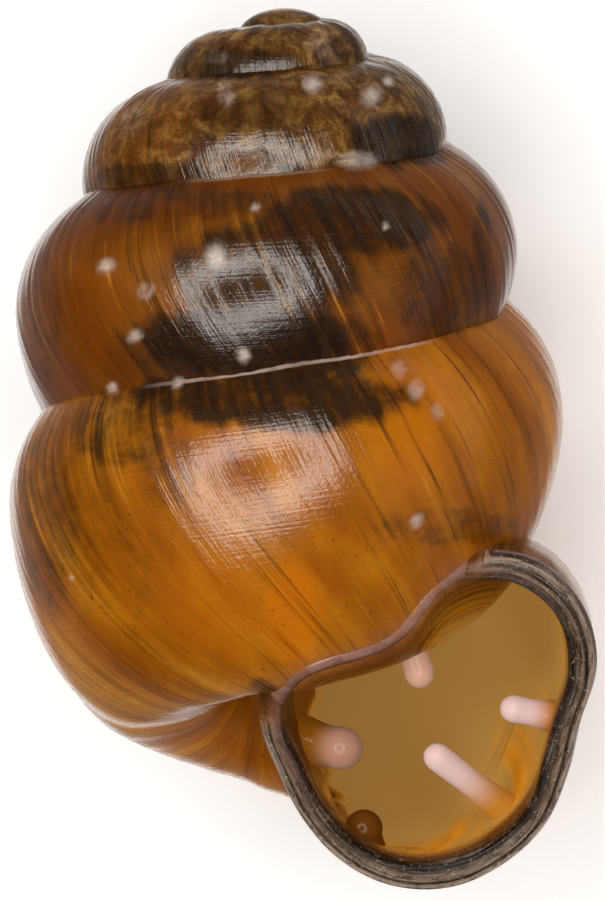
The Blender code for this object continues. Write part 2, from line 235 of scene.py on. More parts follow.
def on_section(turns_back, turn, grow=0.0):
    """Points (radius, height) on the section's outline: turn 0 is its outermost point and 0.25 its top."""
    cut = section(turns_back, grow)
    cosine, sine = np.cos(math.tau * turn), np.sin(math.tau * turn)
    reach = np.where(sine > 0, cut["rise"], cut["drop"])
    power = np.where(sine > 0, 1.0, 2 / LOWER_SQUARENESS)
    outer_radius = cut["centre"] + cut["out"] * np.abs(cosine) ** power
    outer_height = cut["height"] + reach * sine * np.abs(sine) ** (power - 1)
    power = 2 / INNER_SQUARENESS
    inner_radius = cut["centre"] - (cut["in"] - grow) * np.abs(cosine) ** power
    inner_height = cut["height"] + reach * np.sign(sine) * np.abs(sine) ** power
    inner_height = inner_height + np.where(sine > 0, lifted(cut, inner_radius), 0.0)
    front = cosine >= 0
    return np.where(front, outer_radius, inner_radius), np.where(front, outer_height, inner_height)


def inside_section(turns_back, grow, radius, height):
    cut = section(turns_back, grow)
    over = height - cut["height"]
    raised = np.maximum(over - lifted(cut, radius), 0.0) / cut["rise"]
    over = np.where(over > 0, raised, -over / cut["drop"])
    power = np.where(height > cut["height"], 2.0, LOWER_SQUARENESS)
    outwards = (np.abs(radius - cut["centre"]) / cut["out"]) ** power + over ** power < 1
    inwards = (np.abs(cut["centre"] - radius) / cut["in"]) ** INNER_SQUARENESS + over ** INNER_SQUARENESS < 1
    return np.where(radius > cut["centre"], outwards, inwards)


def in_cap(radius, height):
    return (radius / APEX_CAP_RADIUS) ** 2 + ((height - APEX_CAP_HEIGHT) / APEX_CAP_HALF_HEIGHT) ** 2 < 1


def under_whorl_above(turns_back, radius, height):
    above = turns_back + 1
    covered = (above < FIRST_TURN) & inside_section(np.minimum(above, FIRST_TURN), 0.0, radius, height)
    return covered | ((turns_back > FIRST_TURN - 1.3) & in_cap(radius, height))


def crossing(inside, turns_back, from_turn, to_turn):
    """The turn at which each section's outline goes inside something, found by halving."""
    near = np.full_like(turns_back, from_turn)
    far = np.full_like(turns_back, to_turn)
    for _ in range(22):
        middle = (near + far) / 2
        covered = inside(turns_back, *on_section(turns_back, middle))
        near = np.where(covered, near, middle)
        far = np.where(covered, middle, far)
    return near


def top_turn(turns_back):
    """Where the whorl meets the one above: a little past it, so that the seam is closed."""
    return np.minimum(crossing(under_whorl_above, turns_back, 0.02, 0.48) + 0.012, 0.49)


def low_turn(turns_back):
    """Where the next whorl covers this one, or, near the mouth, where its base begins."""
    def under_next(turns, radius, height):
        return inside_section(np.maximum(turns - 1, 0.0), 0.0, radius, height)
    met = crossing(under_next, np.maximum(turns_back, 1.0), -0.01, -0.30) - 0.010
    base = smooth(1.30, 1.00, turns_back)
    return met * (1 - base) - 0.17 * base


def end_turn(turns_back):
    """The strip below the low line goes on to the axis side near the mouth, and has no width further back."""
    base = smooth(1.30, 1.16, turns_back)
    low = low_turn(turns_back)
    return low + (-0.50 - low) * base


def coiled(turns_back, radius, height):
    angle = -math.tau * turns_back
    return np.stack([radius * np.cos(angle), height + 0 * angle, radius * np.sin(angle)], axis=-1)


def spread(turns_back, first, last, count):
    """Turns that divide each section's outline, from first to last, into equal lengths."""
    fine = 90
    shares = np.linspace(0, 1, fine)
    turn = first[:, None] + (last - first)[:, None] * shares
    radius, height = on_section(turns_back[:, None], turn)
    lengths = np.hypot(np.diff(radius, axis=1), np.diff(height, axis=1))
    total = np.concatenate([np.zeros((len(turns_back), 1)), np.cumsum(lengths, axis=1)], axis=1)
    wanted = np.linspace(0, 1, count + 1)
    spaced = np.empty((len(turns_back), count + 1))
    reached = np.empty_like(spaced)
    for row in range(len(turns_back)):
        at = wanted * total[row, -1]
        spaced[row] = np.interp(at, total[row], turn[row]) if total[row, -1] > 0 else first[row]
        reached[row] = at
    return spaced, reached


def mouth_depth(height):
    return MOUTH_TOP_DEPTH - MOUTH_LEAN * (MOUTH_TOP_HEIGHT - height)


def on_mouth(reach, turn, forward=0.0):
    """Points at this distance from the mouth's centre, carried forward from the mouth's plane."""
    x = MOUTH_CENTRE[0] + reach * np.cos(math.tau * turn)
    height = MOUTH_CENTRE[1] + reach * np.sin(math.tau * turn)
    return np.stack([x, height - MOUTH_LEAN * forward, mouth_depth(height) + forward + 0 * x], axis=-1)


def in_hollow(turns_back, radius, height):
    above = np.minimum(turns_back + 1, FIRST_TURN)
    clear = ~inside_section(above, CALLUS, radius, height) | (turns_back + 1 > FIRST_TURN)
    past_pillar = radius > COLUMELLA_RADIUS * (1 - turns_back / COLUMELLA_TURNS)
    return past_pillar & inside_section(turns_back, -WALL, radius, height) & clear


def on_hollow(turns_back, turn):
    """Points (radius, height) on the hollow's outline, found along rays from a place well inside it."""
    cut = section(turns_back)
    start_radius = cut["centre"] + 0.15 * cut["out"]
    start_height = cut["height"] - 0.25 * cut["drop"]
    cosine, sine = np.cos(math.tau * turn), np.sin(math.tau * turn)
    near = np.zeros(np.broadcast(turns_back, turn).shape)
    far = near + 2 * (cut["out"] + cut["drop"])
    for _ in range(20):
        middle = (near + far) / 2
        inside = in_hollow(turns_back, start_radius + middle * cosine, start_height + middle * sine)
        near = np.where(inside, middle, near)
        far = np.where(inside, far, middle)
    return start_radius + near * cosine, start_height + near * sine


def throat(start, earlier, step, end, ahead, shares):
    """Rings that leave the coil along its own direction and meet the mouth's plane squarely."""
    length = np.linalg.norm(end - start, axis=-1, keepdims=True)
    leaving = (start - earlier) / step * (length / (math.tau * np.maximum(start[..., :1], 0.3)))
    arriving = ahead - end
    arriving = arriving / np.linalg.norm(arriving, axis=-1, keepdims=True) * length
    s = np.asarray(shares)[:, None, None]
    return (
        start * (2 * s ** 3 - 3 * s ** 2 + 1)
        + leaving * (s ** 3 - 2 * s ** 2 + s)
        + end * (3 * s ** 2 - 2 * s ** 3)
        + arriving * (s ** 3 - s ** 2)
    )


def grid_normals(points):
    along = np.gradient(points, axis=0)
    across = np.gradient(points, axis=1)
    normal = np.cross(along, across)
    length = np.linalg.norm(normal, axis=-1, keepdims=True)
    return normal / np.maximum(length, 1e-12)


def grid_faces(rows, columns, first=0, wrap=False):
    """Four-sided faces of a grid of points, numbered row by row."""
    index = first + np.arange(rows * columns).reshape(rows, columns)
    if wrap:
        index = np.concatenate([index, index[:, :1]], axis=1)
    corners = [index[:-1, :-1], index[1:, :-1], index[1:, 1:], index[:-1, 1:]]
    return np.stack([c.ravel() for c in corners], axis=1)


def ripple(place, seed, lowest, count):
    """An irregular wave: a few sines whose pitches have no common measure."""
    random = np.random.default_rng(seed)
    total = 0.0
    for k in range(count):
        pitch = lowest * 1.37 ** k
        total = total + np.sin(math.tau * (pitch * place + random.random())) / 1.25 ** k
    return total / count ** 0.5


def place_of(px, py):
    """The drawn x and height that a pixel of the photograph shows."""
    return (px - PHOTO_AXIS_X) / PHOTO_SCALE, (PHOTO_ZERO_Y - py) / PHOTO_SCALE


def growth_place(turns_back, below):
    """Growth lines run down and back: all points of one have the same value, in turns."""
    return turns_back - 0.06 * below - 0.08 * below ** 2


def make_mesh(name, points, faces, attributes):
    """A smooth mesh in metres, laid down as the frame has it, with a value at each point for its material."""
    laid = (
        Matrix.Scale(MM, 4)
        @ Matrix.Translation(REST_MOVE)
        @ Matrix.Rotation(math.radians(REST_PITCH_DEG), 4, "X")
        @ Matrix.Rotation(math.radians(REST_ROLL_DEG), 4, "Y")
    )
    laid = np.array(laid)
    placed = points @ laid[:3, :3].T + laid[:3, 3]
    data = bpy.data.meshes.new(name)
    data.from_pydata(placed.tolist(), [], faces.tolist())
    for key, values in attributes.items():
        kind = "FLOAT_VECTOR" if values.ndim == 2 else "FLOAT"
        made = data.attributes.new(key, kind, "POINT")
        made.data.foreach_set("vector" if values.ndim == 2 else "value", np.ascontiguousarray(values, np.float32).ravel())
    data.shade_smooth()
    piece = bpy.data.objects.new(name, data)
    bpy.context.scene.collection.objects.link(piece)
    return piece


def mouth_polar(points):
    """How far each point stands from the mouth's centre, as a share of the lip line's distance, in front view."""
    x = points[..., 0] - MOUTH_CENTRE[0]
    height = points[..., 1] - MOUTH_CENTRE[1]
    turn = np.arctan2(height, x) / math.tau
    return np.hypot(x, height) - around(LIP_LINE, turn), turn


def whorl_surface():
    """All whorls' outer surface as two strips of points, with the throat's outer wall at the end of each."""
    low = np.linspace(LARGE_WHORLS_TURN, COIL_END_TURN, round((LARGE_WHORLS_TURN - COIL_END_TURN) * STEPS_LOW) + 1)
    high = np.linspace(FIRST_TURN, LARGE_WHORLS_TURN, round((FIRST_TURN - LARGE_WHORLS_TURN) * STEPS_HIGH) + 1)
    turns = np.concatenate([high[:-1], low])
    side, side_below = spread(turns, top_turn(turns), low_turn(turns), ACROSS_SIDE)
    based = turns[turns < 1.30]
    base, base_below = spread(based, low_turn(based), end_turn(based), ACROSS_BASE)
    base_below = base_below + side_below[turns < 1.30][:, -1:]
    strips = []
    for rows, across, below in ((turns, side, side_below), (based, base, base_below)):
        radius, height = on_section(rows[:, None], across)
        points = coiled(rows[:, None], radius, height)
        step = 0.01
        radius, height = on_section(np.full_like(across[-1], COIL_END_TURN + step), across[-1])
        earlier = coiled(COIL_END_TURN + step, radius, height)
        lip_turn = across[-1] + THROAT_SPREAD * smooth(0.0, across[-1].max(), across[-1]) * (across[-1] > 0)
        end = on_mouth(around(LIP_OUTER, lip_turn), lip_turn)
        ahead = on_mouth(around(LIP_OUTER, lip_turn), lip_turn, 1.0)
        shares = np.arange(1, THROAT_STEPS + 1) / THROAT_STEPS
        rings = throat(points[-1], earlier, step, end, ahead, shares)
        points = np.concatenate([points, rings])
        forward = COIL_END_TURN - 0.085 * shares
        all_turns = np.concatenate([np.repeat(rows[:, None], across.shape[1], 1),
                                    np.repeat(forward[:, None], across.shape[1], 1)])
        below = np.concatenate([below, np.repeat(below[-1:], len(shares), 0)])
        strips.append((points, all_turns, below))
    return strips


def relief(points, turns, below):
    """Raises growth ribs, the seam's thread and the callus and ridge by the mouth, along the surface's normals."""
    normal = grid_normals(points)
    outwards = points * (1, 0, 1)
    flip = np.sign(np.sum(normal * outwards, axis=-1, keepdims=True).mean())
    normal = normal * flip
    place = growth_place(turns, below)
    strength = 0.5 + 0.5 * smooth(4.3, 3.0, turns)
    ribs = 0.0011 * strength * ripple(place, 3, 71.0, 4)
    ribs = ribs + 0.0022 * ripple(place, 8, 9.0, 3) * strength
    thread = 0.004 * np.exp(-((below - 0.028) / 0.014) ** 2) * smooth(4.2, 3.4, turns)
    away, turn = mouth_polar(points)
    by_mouth = smooth(1.35, 1.2, turns) * smooth(0.55, 0.62, turns) * (points[..., 2] > 0)
    parietal = smooth(0.12, 0.17, turn % 1.0) * smooth(0.50, 0.45, turn % 1.0)
    ridge = 0.010 * np.exp(-(away / 0.040) ** 2)
    glaze = CALLUS * smooth(0.02, -0.05, away)
    ribs = ribs * (1 - by_mouth * parietal * smooth(0.05, 0.0, away))
    return normal, points + normal * (ribs + thread + by_mouth * parietal * (ridge + glaze))[..., None]


def lip_and_lining():
    """One tube: the rolled lip all round the mouth, then the hollow's wall from the mouth's plane inwards."""
    turn = np.arange(LIP_POINTS) / LIP_POINTS
    outer, inner = around(LIP_OUTER, turn), around(LIP_INNER, turn)
    middle, half = (outer + inner) / 2, (outer - inner) / 2
    free = smooth(0.21, 0.16, turn) + smooth(0.48, 0.54, turn)
    rings, layer = [], []
    for number in range(LIP_STEPS + 1):
        bow = math.pi * number / LIP_STEPS
        swell = 1 + 0.10 * math.sin(bow)
        laminae = LAMINA_HEIGHT * math.cos(2 * LAMINAE * bow) * math.sin(bow) * free
        forward = LIP_ROUND * swell * math.sin(bow) + laminae
        rings.append(on_mouth(middle + half * swell * math.cos(bow) + 0.3 * laminae, turn, forward))
        layer.append(np.full(LIP_POINTS, number / LIP_STEPS))
    step = 0.01
    hollow_turn = turn
    radius, height = on_hollow(np.full(LIP_POINTS, COIL_END_TURN), hollow_turn)
    start = coiled(COIL_END_TURN, radius, height)
    radius, height = on_hollow(np.full(LIP_POINTS, COIL_END_TURN + step), hollow_turn)
    earlier = coiled(COIL_END_TURN + step, radius, height)
    end, ahead = on_mouth(inner, turn), on_mouth(inner, turn, 1.0)
    shares = np.arange(THROAT_STEPS - 1, -1, -1) / THROAT_STEPS
    inwards = throat(start, earlier, step, end, ahead, shares)
    rings += list(inwards)
    layer += [np.full(LIP_POINTS, 2 - share) for share in shares]
    for back in np.linspace(COIL_END_TURN, LINING_END_TURN, LINING_STEPS + 1)[1:]:
        radius, height = on_hollow(np.full(LIP_POINTS, back), hollow_turn)
        rings.append(coiled(back, radius, height))
        layer.append(np.full(LIP_POINTS, 2 + back))
    return np.array(rings), np.array(layer)


def whorl_depth(x, height):
    """How far forward the whorl above the mouth stands at each place: 0 beside it."""
    depth = np.linspace(0.9, 0.1, 401)
    x, height = np.asarray(x)[:, None], np.asarray(height)[:, None]
    inside = inside_section(1 - np.arctan2(depth, x) / math.tau, 0.0, np.hypot(x, depth), height)
    return np.where(inside.any(axis=1), depth[inside.argmax(axis=1)], 0.0)


def ridge_points():
    """The lip's lower continuation over the whorl above: a soft bead that lies on it."""
    turn = np.linspace(*RIDGE_TURNS, RIDGE_STEPS)
    line = on_mouth(around(LIP_LINE, turn), turn)
    middle = np.sin(math.pi * np.linspace(0, 1, RIDGE_STEPS))
    line[:, 2] = np.maximum(whorl_depth(line[:, 0], line[:, 1]) - RIDGE_SINK, line[:, 2] + 0.3 * LIP_ROUND)
    for _ in range(RIDGE_EASING):
        line[1:-1] = (line[:-2] + 2 * line[1:-1] + line[2:]) / 4
    along = np.gradient(line, axis=0)
    along /= np.linalg.norm(along, axis=1, keepdims=True)
    up = line * (1, 0, 1)
    up -= along * np.sum(up * along, axis=1, keepdims=True)
    up /= np.linalg.norm(up, axis=1, keepdims=True)
    side = np.cross(along, up)
    angle = np.arange(RIDGE_SIDES) / RIDGE_SIDES * math.tau
    size = (RIDGE_ROUND * (0.05 + 0.95 * smooth(0.0, 0.45, middle)))[:, None, None]
    ring = side[:, None] * np.cos(angle)[None, :, None] * 1.25 + up[:, None] * np.sin(angle)[None, :, None]
    return line[:, None] + ring * size


def cap_points():
    """The low dome that the coil starts from."""
    rise = np.linspace(-0.5, 0.5, CAP_STEPS + 1)[:, None] * math.pi
    turn = np.arange(CAP_STEPS * 2)[None, :] / (CAP_STEPS * 2) * math.tau
    return np.stack([
        APEX_CAP_RADIUS * np.cos(rise) * np.cos(turn),
        APEX_CAP_HEIGHT + APEX_CAP_HALF_HEIGHT * np.sin(rise) + 0 * turn,
        APEX_CAP_RADIUS * np.cos(rise) * np.sin(turn),
    ], axis=-1)


def tooth_points(root, tip, radius):
    """A blunt rod that widens into the wall it stands on."""
    start = np.array([root[0], root[1], mouth_depth(root[1]) - root[2]])
    end = np.array([tip[0], tip[1], mouth_depth(tip[1]) - tip[2]])
    length = np.linalg.norm(end - start)
    along = (end - start) / length
    side = np.cross(along, (0, 0, 1))
    side = side / np.linalg.norm(side)
    other = np.cross(along, side)
    angle = np.arange(TOOTH_SIDES) / TOOTH_SIDES * math.tau
    circle = side * np.cos(angle)[:, None] + other * np.sin(angle)[:, None]
    rings = []
    for share in np.linspace(0, 1 - radius / length, 14):
        flare = 1 + (TOOTH_FLARE - 1) * (1 - smooth(0, 0.6, share)) + 0.03 * math.sin(9 * share)
        rings.append(start + along * length * share + circle * radius * flare)
    for bow in np.linspace(0, math.pi / 2, 11)[1:]:
        rings.append(end - along * radius * (1 - math.sin(bow)) + circle * radius * (math.cos(bow) + 1e-4))
    return np.array(rings)


def seen_depth(points, layer):
    """The lining's depth by which it is coloured: shallow on the slope inside the lip, deep within its edge, where its
    pale colour is painted light.
    """
    tilt = math.radians(CAMERA_TILT_DEG)
    x = points[..., 0] - MOUTH_CENTRE[0]
    seen = points[..., 1] * math.cos(tilt) - points[..., 2] * math.sin(tilt)
    height = seen - MOUTH_CENTRE[1] * math.cos(tilt) + mouth_depth(MOUTH_CENTRE[1]) * math.sin(tilt)
    turn = np.arctan2(height, x) / math.tau
    slope = smooth(-0.006, 0.020, np.hypot(x, height) - around(OPENING_EDGE, turn))
    return (1 - slope) * np.maximum(layer, 1.95) + slope * np.minimum(layer, 1.34)


def near_photo(points, px, py, wide, high=None):
    """How near each point stands to a pixel of the photograph, in front view: 0 there and 1 at this distance."""
    x, height = place_of(px, py)
    tilt = math.radians(CAMERA_TILT_DEG)
    seen = points[..., 1] * math.cos(tilt) - points[..., 2] * math.sin(tilt)
    across = (points[..., 0] - x) / (wide / PHOTO_SCALE)
    upwards = (seen - height) / ((high or wide) / PHOTO_SCALE)
    return np.hypot(across, upwards)


def tints(points, turns, below):
    """What is only colour, worked out at each point: dark film, orange glow, deeper amber, pale bloom and whitish
    specks; the deeper amber is mostly painted shade toward the whorls' sides.
    """
    front = smooth(0.0, 0.25, points[..., 2])
    wander = ripple(growth_place(turns, below), 21, 5.0, 5)
    streak = ripple(growth_place(turns, below), 22, 31.0, 4)
    dark = np.zeros_like(below)
    for (px, py, wide, high), weight in DARK_PLACES.items():
        near = near_photo(points, px, py, wide, high) + 0.10 * wander + 0.09 * streak
        dark = np.maximum(dark, weight * front * smooth(1.15, 0.65, near))
    band = smooth(0.17, 0.05, below + 0.03 * wander + 0.03 * streak)
    under = smooth(0.61, 0.66, turns) * smooth(0.83, 0.79, turns) + 0.55 * smooth(0.12, 0.2, turns) * smooth(0.5, 0.4, turns)
    dark = np.maximum(dark, band * under)
    upper = smooth(2.2, 2.9, turns)
    dark = np.maximum(dark, upper * (0.30 + 0.22 * wander * np.abs(wander)))
    warm = np.zeros_like(below)
    for (px, py, wide, high), weight in WARM_PLACES.items():
        near = near_photo(points, px, py, wide, high) + 0.12 * streak
        warm = np.maximum(warm, weight * front * smooth(1.2, 0.5, near))
    # Deeper amber, mostly painted shade toward the whorls' sides.
    deep = np.zeros_like(below)
    for (px, py, wide, high), weight in DEEP_TONE_AND_SIDE_SHADE_PLACES.items():
        near = near_photo(points, px, py, wide, high) + 0.15 * streak
        deep = np.maximum(deep, weight * front * smooth(1.2, 0.4, near))
    pale = np.zeros_like(below)
    for (px, py, wide, high), weight in PALE_PLACES.items():
        pale = np.maximum(pale, weight * front * smooth(1.2, 0.3, near_photo(points, px, py, wide, high)))
    for px, py, size, ring in SPECKS:
        near = near_photo(points, px, py, size) * (1 + 0.10 * streak + 0.08 * wander)
        spot = np.exp(-2.2 * near ** 2) - ring * np.exp(-9 * near ** 2)
        pale = np.maximum(pale, 0.62 * front * np.clip(spot, 0, 1))
    seam = smooth(0.64, 0.70, turns) * smooth(0.87, 0.83, turns) + 0.5 * smooth(1.64, 1.70, turns) * smooth(1.8, 1.76, turns)
    return {"dark": np.clip(dark, 0, 1), "warm": warm, "deep": deep, "pale": pale, "seam": seam, "upper": upper,
            "whorl": turns + 0 * below}


def shell_piece():
    """The whole shell in one mesh: whorls, throat, lip, lining, teeth and apex, each reaching into its neighbour."""
    points, faces, values = [], [], {}
    count = 0

    def add(grid, wrap, attributes):
        nonlocal count
        rows, columns = grid.shape[:2]
        points.append(grid.reshape(-1, 3))
        faces.append(grid_faces(rows, columns, count, wrap))
        for key in ATTRIBUTES:
            found = np.broadcast_to(attributes.get(key, 0.0), (rows, columns))
            values.setdefault(key, []).append(found.ravel())
        count += rows * columns

    for grid, turns, below in whorl_surface():
        normal, raised = relief(grid, turns, below)
        marks = tints(grid, turns, below)
        marks |= {"growth": growth_place(turns, below), "below": below}
        away, turn = mouth_polar(grid)
        by_mouth = smooth(1.35, 1.2, turns) * smooth(0.55, 0.62, turns) * (grid[..., 2] > 0)
        parietal = smooth(0.12, 0.17, turn % 1.0) * smooth(0.50, 0.45, turn % 1.0)
        marks["ridge"] = 0.22 * by_mouth * parietal * np.exp(-(away / 0.03) ** 2)
        marks["inner"] = by_mouth * parietal * smooth(0.0, -0.05, away)
        marks["layer"] = 1.15 + 3.0 * np.clip(-away, 0, 0.3)
        marks["lip"] = 0.9 * smooth(0.02, -0.02, turns)
        add(raised, False, marks)
    tube, layer = lip_and_lining()
    around_turn = np.broadcast_to(np.arange(LIP_POINTS) / LIP_POINTS, layer.shape)
    parietal = smooth(0.185, 0.215, around_turn) * smooth(0.515, 0.475, around_turn)
    lip_share = smooth(1.25, 0.95, layer) * (1 - parietal)
    joined = smooth(0.42, 0.47, around_turn) * smooth(0.66, 0.56, around_turn)
    joined = np.maximum(joined, 0.7 * smooth(0.10, 0.19, around_turn) * smooth(0.26, 0.23, around_turn))
    joined = joined * np.exp(-((layer - 0.60) / 0.14) ** 2)
    depth = layer + smooth(0.98, 1.06, layer) * (seen_depth(tube, layer) - layer)
    low = smooth(0.54, 0.66, around_turn) * smooth(1.02, 0.88, around_turn) * smooth(1.0, 1.2, layer) * smooth(2.1, 1.8, layer)
    add(tube, True, {"lip": lip_share, "gold": low, "inner": np.maximum(smooth(0.9, 1.1, layer), parietal),
                     "layer": np.maximum(depth, 1.05 * parietal), "growth": -layer, "below": around_turn, "whorl": layer,
                     "ridge": 0.42 * joined})
    ridge = ridge_points()
    length = np.linspace(0, 1, len(ridge))[:, None]
    angle = np.arange(RIDGE_SIDES)[None, :] / RIDGE_SIDES * math.tau
    ends = smooth(0.10, 0.0, length) + smooth(0.90, 1.0, length)
    # The ridge colour covers only the bead's outer half: the callus's own grey-violet, partly a painted highlight
    # along its lit crest.
    add(ridge, True, {
        "ridge": (1 - 0.5 * ends) * smooth(0.30, 0.95, np.sin(angle)), "lip": 0.6 * ends, "layer": 1.10,
        "inner": smooth(0.35, -0.45, np.cos(angle)) * (1 - ends), "growth": 0.3 + 0.1 * length, "below": length})
    add(cap_points(), True, {"upper": 1.0, "dark": 0.25, "whorl": FIRST_TURN, "growth": FIRST_TURN})
    for name, (root, tip, radius) in TEETH.items():
        grid = tooth_points(root, tip, radius)
        share = np.linspace(0, 1, len(grid))[:, None]
        white, start, layer = TOOTH_LOOKS[name]
        add(grid, True, {"tooth": smooth(start, start + 0.3, share) * white, "inner": 1.0, "layer": layer})
    points, faces = np.concatenate(points), np.concatenate(faces)
    merged = {key: np.concatenate(found) for key, found in values.items()}
    return make_mesh("snail_shell", points, faces, merged)


def material(name):
    made = bpy.data.materials.new(name)
    made.use_nodes = True
    made.node_tree.nodes.clear()
    return made


class Graph:
    """A short way to write a material's nodes."""

    def __init__(self, made):
        self.tree = made.node_tree

    def node(self, kind, *inputs, **settings):
        made = self.tree.nodes.new(kind)
        named = {k: v for k, v in settings.items() if k[0].isupper()}
        for key, value in settings.items():
            if key not in named:
                setattr(made, key, value)
        for key, value in [*enumerate(inputs), *named.items()]:
            self.plug(made.inputs[key.replace("_", " ") if isinstance(key, str) else key], value)
        return made

    def plug(self, socket, value):
        if isinstance(value, bpy.types.NodeSocket):
            self.tree.links.new(value, socket)
        elif value is not None:
            socket.default_value = value

    def value(self, name):
        return self.node("ShaderNodeAttribute", attribute_name=name).outputs["Fac"]

    def math(self, operation, one, two=None, clamp=False):
        return self.node("ShaderNodeMath", one, two, operation=operation, use_clamp=clamp).outputs[0]

    def times(self, one, two):
        return self.math("MULTIPLY", one, two)

    def plus(self, one, two):
        return self.math("ADD", one, two)

    def step(self, value, low, high, to_low=0.0, to_high=1.0):
        made = self.node("ShaderNodeMapRange", value, low, high, to_low, to_high, interpolation_type="SMOOTHSTEP")
        return made.outputs[0]

    def noise(self, vector, scale, detail=3.0, rough=0.5, distortion=0.0):
        made = self.node("ShaderNodeTexNoise", Vector=vector, Scale=scale, Detail=detail, Roughness=rough,
                         Distortion=distortion)
        return made.outputs["Fac"]

    def mix(self, share, one, two, blend="MIX"):
        made = self.node("ShaderNodeMix", data_type="RGBA", blend_type=blend, clamp_factor=True)
        self.plug(made.inputs["Factor"], share)
        self.plug(made.inputs[6], one)
        self.plug(made.inputs[7], two)
        return made.outputs[2]

    def vector(self, x, y, z=0.0):
        return self.node("ShaderNodeCombineXYZ", x, y, z).outputs[0]

    def ramp(self, value, stops):
        made = self.node("ShaderNodeValToRGB", value)
        for number, (place, colour) in enumerate(stops):
            if number < 2:
                stop = made.color_ramp.elements[number]
                stop.position = place
            else:
                stop = made.color_ramp.elements.new(place)
            stop.color = colour
        return made.outputs[0]


def rgb(red, green, blue):
    """A colour as a screen shows it, in 0 to 255, made linear."""
    parts = [c / 255 for c in (red, green, blue)]
    return tuple(c / 12.92 if c <= 0.04045 else ((c + 0.055) / 1.055) ** 2.4 for c in parts) + (1.0,)


